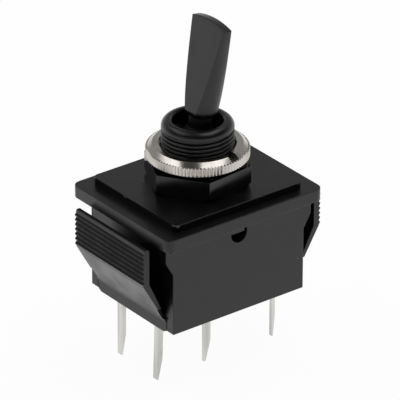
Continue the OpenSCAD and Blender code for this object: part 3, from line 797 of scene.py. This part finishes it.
@dataclass
class CoverAndBush(SubAssembly):
    """The polished cover plate and its threaded bush.

    Attributes:
        crest: Crest radius of the thread.
        root: Root radius of the thread.
        pitch: Pitch of the thread.
        shoulder: Height at which the thread runs out.
        core: Radius to which the plain wall under the thread is drawn in.
    """

    crest: float = 6.0
    root: float = 5.54
    pitch: float = 0.75
    shoulder: float = 9.65
    core: float = 5.4
    keyway_half: float = 0.55
    keyway_radius: float = 5.3
    edge: float = 0.26

    def build(self) -> None:
        """Makes the cover, then the thread round its bush."""
        cover = merged_copy(self.nodes["cover_bush"], "cover_plate")
        self._draw_in_core(cover)
        round_edges(cover, self.edge)
        self.show(cover, Finish.COVER, "black_gloss_plastic", BODY, "cover_bush")
        self._paint_bush(cover)
        thread = grow("bush_thread", thread_tree(), {
            "Pitch": self.pitch * MM, "Crest Radius": self.crest * MM, "Root Radius": self.root * MM,
            "Low": 0.0, "High": self.shoulder * MM, "Inner Radius": (self.core - 0.1) * MM,
            "Keyway Half Width": self.keyway_half * MM, "Keyway Radius": self.keyway_radius * MM,
            "Columns": 241, "Rows": 156, "Finish": self.wardrobe.get(Finish.THREAD),
        })
        smooth(thread, 50.0)
        self.show(thread, Finish.THREAD, "black_gloss_plastic", BODY, "cover_bush")

    def _draw_in_core(self, cover: bpy.types.Object) -> None:
        """Draws the bush's plain wall in, so that the thread can stand round it."""
        build = bmesh.new()
        build.from_mesh(cover.data)
        cut = (self.shoulder - 0.06) * MM
        bmesh.ops.bisect_plane(build, geom=build.verts[:] + build.edges[:] + build.faces[:], dist=1e-8, plane_co=(0, 0, cut), plane_no=(0, 0, 1))
        for vert in build.verts:
            radius = math.hypot(vert.co.x, vert.co.y)
            if self.root * MM - 1e-5 < radius < self.crest * MM + 1e-6 and 1e-6 < vert.co.z < cut + 1e-7:
                scale = self.core * MM / radius
                vert.co.x *= scale
                vert.co.y *= scale
        build.to_mesh(cover.data)
        build.free()

    def _paint_bush(self, cover: bpy.types.Object) -> None:
        """Gives the bush and its bore the thread's finish, which is duller than the plate's."""
        cover.data.materials.append(self.wardrobe.get(Finish.THREAD))
        for face in cover.data.polygons:
            if face.center.z > 0.05 * MM or math.hypot(face.center.x, face.center.y) < 5.3 * MM:
                face.material_index = 1


@dataclass
class HexNut(SubAssembly):
    """The black hexagon nut."""

    edge: float = 0.10

    def build(self) -> None:
        """Makes the nut with lightly broken edges."""
        nut = round_edges(merged_copy(self.nodes["hex_nut"], "hex_nut_body"), self.edge, 2, 25.0)
        self.show(nut, Finish.HEX, "black_gloss_plastic", BODY, "hex_nut")


@dataclass
class KnurledRing(SubAssembly):
    """The bright ring nut with its knurl, bevel and spanner slots.

    Attributes:
        low: Height of its underside.
        band_top: Top of the knurled band.
        top: Height of its flat top.
        tip_radius: Radius over the teeth.
        root_radius: Radius of the grooves between the teeth.
        top_radius: Radius of the flat top.
        bore: Radius of its bore.
        sink: Radius of the countersink round the bore.
        slot_width: Width of the spanner slots.
        slot_turn: Direction of the slots, in degrees.
        teeth: Number of teeth.
    """

    low: float = 4.31
    band_top: float = 5.97
    top: float = 6.73
    tip_radius: float = 8.55
    root_radius: float = 8.31
    top_radius: float = 7.4
    bore: float = 6.05
    sink: float = 6.4
    slot_width: float = 1.7
    slot_turn: float = -79.4
    teeth: int = 90

    def build(self) -> None:
        """Makes the turned body, cuts the slots and adds the knurl."""
        body = lathe("ring_nut_body", [
            (self.bore, self.low), (self.root_radius - 0.25, self.low), (self.root_radius - 0.1, self.low + 0.06),
            (self.root_radius, self.low + 0.2), (self.root_radius, self.band_top + 0.05),
            (self.top_radius + 0.10, self.top - 0.06), (self.top_radius + 0.02, self.top - 0.01), (self.top_radius - 0.06, self.top),
            (self.sink, self.top), (self.bore, self.top - 0.35),
        ], 180)
        cutter = mesh_from("slot_cutter", *self._slot_block())
        cut = body.modifiers.new("slots", "BOOLEAN")
        cut.operation = "DIFFERENCE"
        cut.solver = "EXACT"
        cut.object = cutter
        bake_modifiers(body)
        bpy.data.objects.remove(cutter)
        smooth(body, 26.0)
        self.show(body, Finish.NICKEL, "nickel_plate", BODY, "ring_nut")
        tooth = self.tip_radius - self.root_radius + 0.06
        knurl = grow("ring_nut_knurl", knurl_tree(), {
            "Teeth": self.teeth, "Root Radius": (self.root_radius - 0.06) * MM, "Tooth Radius": tooth * MM,
            "Low": (self.low + 0.28) * MM, "High": (self.band_top - 0.02) * MM, "Tip Length": 0.22 * MM,
            "Finish": self.wardrobe.get(Finish.NICKEL),
        })
        self.show(knurl, Finish.NICKEL, "nickel_plate", BODY, "ring_nut")

    def _slot_block(self) -> tuple[list[Vector], list[tuple[int, ...]]]:
        """Returns the block that cuts both spanner slots."""
        turn = Matrix.Rotation(math.radians(self.slot_turn), 3, "Z")
        half = self.slot_width / 2
        points = [turn @ Vector((x, y, z)) for z in (self.band_top + 0.03, self.top + 1) for x, y in ((-12, -half), (12, -half), (12, half), (-12, half))]
        return points, [(3, 2, 1, 0), (4, 5, 6, 7), (0, 1, 5, 4), (1, 2, 6, 5), (2, 3, 7, 6), (3, 0, 4, 7)]


@dataclass
class PaddleLever(SubAssembly):
    """The lever: a flat-sided flared paddle on a stem, tilted in the bush.

    Attributes:
        pivot: Height of the pivot.
        tilt: Tilt towards +X, in degrees.
        start: Distance from the pivot to the paddle's foot.
        reach: Distance from the pivot to its crown.
        foot_radius: Radius of the paddle's round sides at its foot.
        crown_radius: The same at its crown.
        foot_half: Half the thickness between the flats at the foot.
        crown_half: The same at the crown.
        crown_rise: Rise of the crown's arc.
        fillet: Radius between the flats and the round sides.
        foot_round: Rounding of the foot.
        crown_round: Rounding of the crown's edge.
    """

    pivot: float = 7.1
    tilt: float = 8.0
    start: float = 4.3
    reach: float = 21.03
    foot_radius: float = 2.62
    crown_radius: float = 4.3
    foot_half: float = 2.43
    crown_half: float = 0.75
    crown_rise: float = 0.62
    fillet: float = 0.12
    foot_round: float = 1.15
    crown_round: float = 0.12
    flat_steps: int = 14
    round_steps: int = 14
    rows: int = 60

    def build(self) -> None:
        """Makes the paddle and keeps the solid's stem, ball and barrels under it."""
        paddle = self._paddle()
        smooth(paddle, 40.0)
        self.show(paddle, Finish.LEVER, "lever_plastic", "lever", "lever")
        lower = merged_copy(self.nodes["lever"], "lever_stem")
        self._cut_above(lower, self.start - 0.02)
        round_edges(lower, 0.12, 2)
        # The stem takes the darker finish: painted shade for the part of the lever inside the bore
        self.show(lower, Finish.STEM, "lever_plastic", "lever", "lever")

    def _place(self) -> Matrix:
        """Returns the turn and shift from upright at the pivot to the lever's own place."""
        return Matrix.Translation((0, 0, self.pivot)) @ Matrix.Rotation(math.radians(self.tilt), 4, "Y")

    def _section(self, along: float, inset: float) -> list[tuple[float, float]]:
        """Returns one closed section of the paddle.

        Args:
            along: Share of the way from foot to crown.
            inset: How far the outline is drawn in, for rounded ends.

        Returns:
            Points (x, y), mirrored about both axes.
        """
        radius = self.foot_radius + along * (self.crown_radius - self.foot_radius) - inset
        half = self.foot_half + along * (self.crown_half - self.foot_half) - inset
        fillet = min(self.fillet, half * 0.45)
        cx = half - fillet
        cy = math.sqrt(max((radius - fillet) ** 2 - cx * cx, 1e-6))
        end = math.atan2(cy, cx)
        quarter: list[tuple[float, float]] = [(half, cy * i / self.flat_steps) for i in range(self.flat_steps)]
        quarter += [(cx + fillet * math.cos(end * i / 6), cy + fillet * math.sin(end * i / 6)) for i in range(7)]
        for i in range(1, self.round_steps + 1):
            a = end + (math.pi / 2 - end) * i / self.round_steps
            quarter.append((radius * math.cos(a), radius * math.sin(a)))
        other = [(-x, y) for x, y in reversed(quarter[:-1])]
        upper = quarter + other
        return upper + [(x, -y) for x, y in reversed(upper[1:-1])]

    def _paddle(self) -> bpy.types.Object:
        """Lofts the paddle from its foot to its crown and closes both ends."""
        crown_r = (self.crown_radius ** 2 + self.crown_rise ** 2) / (2 * self.crown_rise)
        length = self.reach - self.start
        stations: list[tuple[float, float]] = []
        for i in range(9):
            d = self.foot_round * (1 - math.cos(math.pi / 2 * i / 8))
            inset = self.foot_round * (1 - math.sin(math.pi / 2 * i / 8))
            stations.append((d, inset))
        low, high = self.foot_round, length - self.crown_round - self.crown_rise
        stations += [(low + (high - low) * i / self.rows, 0.0) for i in range(1, self.rows)]
        for i in range(9):
            d = length - self.crown_round * (1 - math.sin(math.pi / 2 * i / 8))
            stations.append((d, self.crown_round * (1 - math.cos(math.pi / 2 * i / 8))))
        place = self._place()
        points: list[Vector] = []
        for d, inset in stations:
            share = d / length
            bend = max(0.0, (share - 0.6) / 0.4) ** 1.5
            for x, y in self._section(share, inset):
                drop = crown_r - math.sqrt(crown_r ** 2 - y * y)
                points.append(place @ Vector((x, y, self.start + d - drop * bend)))
        count = len(points) // len(stations)
        faces: list[tuple[int, ...]] = []
        for row in range(len(stations) - 1):
            for k in range(count):
                m = (k + 1) % count
                faces.append((row * count + k, row * count + m, (row + 1) * count + m, (row + 1) * count + k))
        # Both ends are closed by strips between points with the same Y
        half = count // 2
        quarter = self.flat_steps + 7 + self.round_steps - 1
        for base in (0, (len(stations) - 1) * count):
            right = [(quarter - i) % count for i in range(2 * quarter + 1)]
            left_row = [(quarter + i) % count for i in range(2 * quarter + 1)]
            for i in range(2 * quarter):
                quad = (base + right[i], base + right[i + 1], base + left_row[i + 1], base + left_row[i])
                unique = tuple(dict.fromkeys(quad))
                if len(unique) > 2:
                    faces.append(unique)
        LOG.info("paddle sections of %d points, half %d", count, half)
        return mesh_from("lever_paddle", points, faces)

    def _cut_above(self, obj: bpy.types.Object, distance: float) -> None:
        """Removes what lies above a distance from the pivot along the lever, and closes the cut."""
        place = self._place()
        at = place @ Vector((0, 0, distance))
        normal = place.to_3x3() @ Vector((0, 0, 1))
        build = bmesh.new()
        build.from_mesh(obj.data)
        cut = bmesh.ops.bisect_plane(build, geom=build.verts[:] + build.edges[:] + build.faces[:], dist=1e-8, plane_co=at * MM, plane_no=normal, clear_outer=True)
        edges = [e for e in cut["geom_cut"] if isinstance(e, bmesh.types.BMEdge)]
        bmesh.ops.holes_fill(build, edges=edges)
        build.to_mesh(obj.data)
        build.free()


@dataclass
class Terminals(SubAssembly):
    """The six stamped terminals and their solder tails."""

    edge: float = 0.07

    def build(self) -> None:
        """Makes each terminal with the soft edges of a plated stamping."""
        for pole in Pole:
            names = [f"common_terminal_{pole.value}"]
            names += [f"throw_terminal_{pole.value}_{side.name.lower()}" for side in Side]
            for name in names:
                piece = round_edges(merged_copy(self.nodes[name], name + "_plated"), self.edge, 2, 40.0)
                self.show(piece, Finish.TIN, "tinned_terminal", BODY, name)


@dataclass
class ContactGear(SubAssembly):
    """What works inside: pivot pin, plungers, springs, blades and contacts.

    Attributes:
        spring_turns: Turns of each spring.
        spring_radius: Mean radius of each spring.
        wire_radius: Radius of the spring wire.
        spring_low: Distance from the pivot down to the springs' lower ends.
        spring_length: Length of each spring.
        pole_y: Distance of the poles from the middle.
    """

    spring_turns: float = 5.5
    spring_radius: float = 0.95
    wire_radius: float = 0.15
    spring_low: float = 14.26
    spring_length: float = 3.36
    pole_y: float = 5.08
    pivot: float = 7.1
    tilt: float = 8.0

    def build(self) -> None:
        """Dresses the inner solids and winds the springs."""
        self.wardrobe.dress(self.nodes["pivot_pin"], Finish.STEEL)
        tree = spring_tree()
        for pole in Pole:
            self.wardrobe.dress(self.nodes[f"plunger_{pole.value}"], Finish.PLUNGER)
            self.wardrobe.dress(self.nodes[f"rocker_blade_{pole.value}"], Finish.COPPER)
            for side in Side:
                for kind in ("moving", "fixed"):
                    self.wardrobe.dress(self.nodes[f"{kind}_contact_{pole.value}_{side.name.lower()}"], Finish.SILVER)
            self._spring(tree, pole)

    def _spring(self, tree: bpy.types.NodeTree, pole: Pole) -> None:
        """Winds one spring in its barrel."""
        wire = self.wire_radius
        spring = grow(f"plunger_spring_{pole.value}_wire", tree, {
            "Turns": self.spring_turns, "Coil Radius": self.spring_radius * MM, "Wire Radius": wire * MM,
            "Length": (self.spring_length - 2 * wire) * MM, "Finish": self.wardrobe.get(Finish.WIRE),
        })
        y = -self.pole_y if pole is Pole.FRONT else self.pole_y
        place = Matrix.Translation((0, 0, self.pivot * MM)) @ Matrix.Rotation(math.radians(self.tilt), 4, "Y")
        spring.data.transform(place @ Matrix.Translation((0, y * MM, (wire - self.spring_low) * MM)))
        spring.data.shade_smooth()
        self.show(spring, Finish.WIRE, "spring_steel", "lever", f"plunger_spring_{pole.value}")


# ---------------------------------------------------------------- studio


@dataclass
class Studio:
    """Floor, lamps, surroundings and camera.

    Attributes:
        floor_z: Height of the floor, in millimetres.
        focal_px: Focal length over the picture's width of 400.
        azimuth: Direction the camera looks from, in degrees.
        elevation: Height it looks from, in degrees.
        roll: Turn about its own axis, in degrees.
        distance: Distance to the switch, in millimetres.
        aside: Shift of the camera to its right and up, in millimetres.
        strip_height: Height of the overhead strips, in millimetres.
    """

    floor_z: float = -31.0
    focal_px: float = 4884.472
    azimuth: float = -37.652
    elevation: float = 27.563
    roll: float = 0.16
    distance: float = 795.222
    aside: tuple[float, float] = (0.394, -3.509)
    strip_height: float = 550.0

    def build(self) -> None:
        """Sets up the whole studio."""
        self._floor()
        self._world()
        self._strip("right_strip", 218.0, 75.0, (344.0, 650.0), 1.12)
        self._strip("left_strip", -370.0, 100.0, (291.0, 650.0), 0.95)
        self._camera()
        bpy.context.scene.view_settings.view_transform = "Standard"

    def _floor(self) -> None:
        """Lays a wide pale floor that keeps the switch's shadow."""
        size = 6000.0
        points = [Vector((x, y, self.floor_z)) for x, y in ((-size, -size), (size, -size), (size, size), (-size, size))]
        floor = mesh_from("floor", points, [(0, 1, 2, 3)])
        material = bpy.data.materials.new("pale_floor")
        material.use_nodes = True
        material.node_tree.nodes.clear()
        s = NodeSheet(material.node_tree)
        matt = s.add("ShaderNodeBsdfDiffuse", {"Color": (0.86, 0.86, 0.86, 1.0)})
        bright = s.add("ShaderNodeEmission", {"Color": (1.0, 1.0, 1.0, 1.0), "Strength": 1.04})
        path = s.add("ShaderNodeLightPath")
        seen = s.math("MAXIMUM", path.outputs["Is Camera Ray"], path.outputs["Is Glossy Ray"])
        seen = s.math("MAXIMUM", seen, path.outputs["Is Transmission Ray"])
        share = s.math("MULTIPLY", seen, 0.92)
        mixed = s.add("ShaderNodeMixShader", {0: share, 1: matt.outputs[0], 2: bright.outputs[0]})
        output = s.add("ShaderNodeOutputMaterial", {"Surface": mixed.outputs[0]})
        output.is_active_output = True
        floor.data.materials.append(material)

    def _world(self) -> None:
        """Surrounds the switch with a dim room: pale at the floor, grey beyond the switch, dark behind the camera."""
        world = bpy.data.worlds.new("studio_room")
        bpy.context.scene.world = world
        world.use_nodes = True
        world.node_tree.nodes.clear()
        s = NodeSheet(world.node_tree)
        direction = s.add("ShaderNodeTexCoord").outputs["Generated"]
        height = s.add("ShaderNodeSeparateXYZ", {0: direction}).outputs[2]
        beyond = s.add("ShaderNodeVectorMath", {0: direction, 1: (0.611, 0.792, 0.0)}, operation="DOT_PRODUCT")
        wall = s.math("MULTIPLY", s.remap(beyond.outputs[1], -0.1, 0.6, 0.0, 0.30), s.remap(height, 0.50, 0.75, 1.0, 0.1))
        level = s.math("MAXIMUM", s.remap(height, 0.08, 0.32, 0.92, 0.0), s.math("ADD", wall, 0.05))
        path = s.add("ShaderNodeLightPath")
        strength = s.math("MAXIMUM", level, path.outputs["Is Camera Ray"])
        room = s.add("ShaderNodeBackground", {"Color": (1.0, 1.0, 1.0, 1.0), "Strength": strength})
        s.add("ShaderNodeOutputWorld", {"Surface": room.outputs[0]})

    def _strip(self, name: str, aside: float, beyond: float, size: tuple[float, float], watts: float) -> None:
        """Hangs a soft overhead strip that shines straight down.

        Args:
            name: The lamp's name.
            aside: How far to the camera's right it hangs, in millimetres.
            beyond: How far past the switch it hangs, away from the camera, in millimetres.
            size: Its width and length, in millimetres.
            watts: Its power.
        """
        a = math.radians(self.azimuth)
        across, away = Vector((math.cos(a), math.sin(a), 0.0)), Vector((-math.sin(a), math.cos(a), 0.0))
        data = bpy.data.lights.new(name, "AREA")
        data.shape = "RECTANGLE"
        data.size, data.size_y = size[0] * MM, size[1] * MM
        data.energy = watts
        lamp = bpy.data.objects.new(name, data)
        turn = Matrix((across, away, Vector((0.0, 0.0, 1.0)))).transposed().to_4x4()
        spot = across * aside + away * beyond + Vector((0.0, 0.0, self.strip_height))
        lamp.matrix_world = Matrix.Translation(spot * MM) @ turn
        bpy.context.scene.collection.objects.link(lamp)

    def _camera(self) -> None:
        """Places the camera."""
        a, e, roll = (math.radians(v) for v in (self.azimuth, self.elevation, self.roll))
        back = Vector((math.sin(a) * math.cos(e), -math.cos(a) * math.cos(e), math.sin(e)))
        flat = Vector((math.cos(a), math.sin(a), 0.0))
        rise = back.cross(flat)
        across = math.cos(roll) * flat + math.sin(roll) * rise
        up = -math.sin(roll) * flat + math.cos(roll) * rise
        data = bpy.data.cameras.new("camera")
        data.sensor_width = 36.0
        data.lens = 36.0 * self.focal_px / 400.0
        data.clip_start, data.clip_end = 0.05, 50.0
        camera = bpy.data.objects.new("camera", data)
        turn = Matrix((across, up, back)).transposed().to_4x4()
        spot = (back * self.distance + across * self.aside[0] + up * self.aside[1]) * MM
        camera.matrix_world = Matrix.Translation(spot) @ turn
        bpy.context.scene.collection.objects.link(camera)
        bpy.context.scene.camera = camera


def main() -> None:
    """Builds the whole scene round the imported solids."""
    logging.basicConfig(level=logging.INFO, format="%(message)s")
    for obj in list(bpy.data.objects):
        bpy.data.objects.remove(obj)
    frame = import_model()
    wardrobe = Wardrobe()
    nodes = frame["nodes"]
    for assembly in (Housing, SnapBase, CoverAndBush, HexNut, KnurledRing, PaddleLever, Terminals, ContactGear):
        assembly(nodes, wardrobe).build()
    Studio().build()
    LOG.info("scene ready")


if __name__ == "__main__":
    main()
